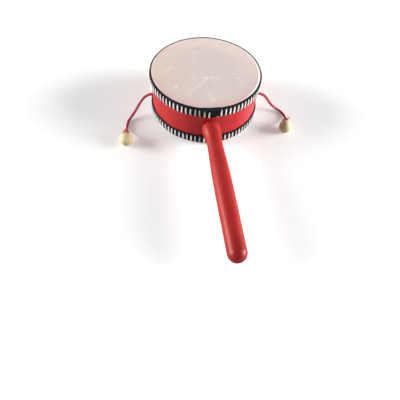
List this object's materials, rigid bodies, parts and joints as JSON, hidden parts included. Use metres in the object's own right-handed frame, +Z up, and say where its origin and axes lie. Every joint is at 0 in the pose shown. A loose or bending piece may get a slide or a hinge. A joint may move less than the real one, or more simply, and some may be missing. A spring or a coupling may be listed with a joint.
{
  "type": "double-sided hand drum",
  "caption": "Small double-sided hand drum: red painted hoop, pale skins taped with a black and white braid, red turned handle, and wooden beads on cords at its sides",
  "frame": {"origin": "Middle of the lower skin's flat face, on the drum's axis, where the drum rests.", "axes": "+Z is up along the drum's axis, from the lower skin to the upper one. The handle points along -Y. +X is the drum's right-hand side as seen with the handle towards the viewer."},
  "size_m": [0.1606, 0.2295, 0.042],
  "materials": {
    "red_painted_hoop": "satin red paint on a bent wood hoop",
    "drum_skin": "stretched pale rawhide, matt",
    "braided_tape": "woven black and white braid, glued on",
    "red_painted_handle": "glossy red paint on turned wood",
    "crimson_cord": "twisted crimson cord",
    "plain_bead_wood": "plain unpainted wood, sanded"
  },
  "bodies": {
    "root": {"hoop": "red_painted_hoop", "skin_top": "drum_skin", "skin_bottom": "drum_skin", "tape_top": "braided_tape", "tape_bottom": "braided_tape", "handle": "red_painted_handle", "cord_left": "crimson_cord", "cord_right": "crimson_cord", "bead_left": "plain_bead_wood", "bead_right": "plain_bead_wood"}
  },
  "joints": []
}
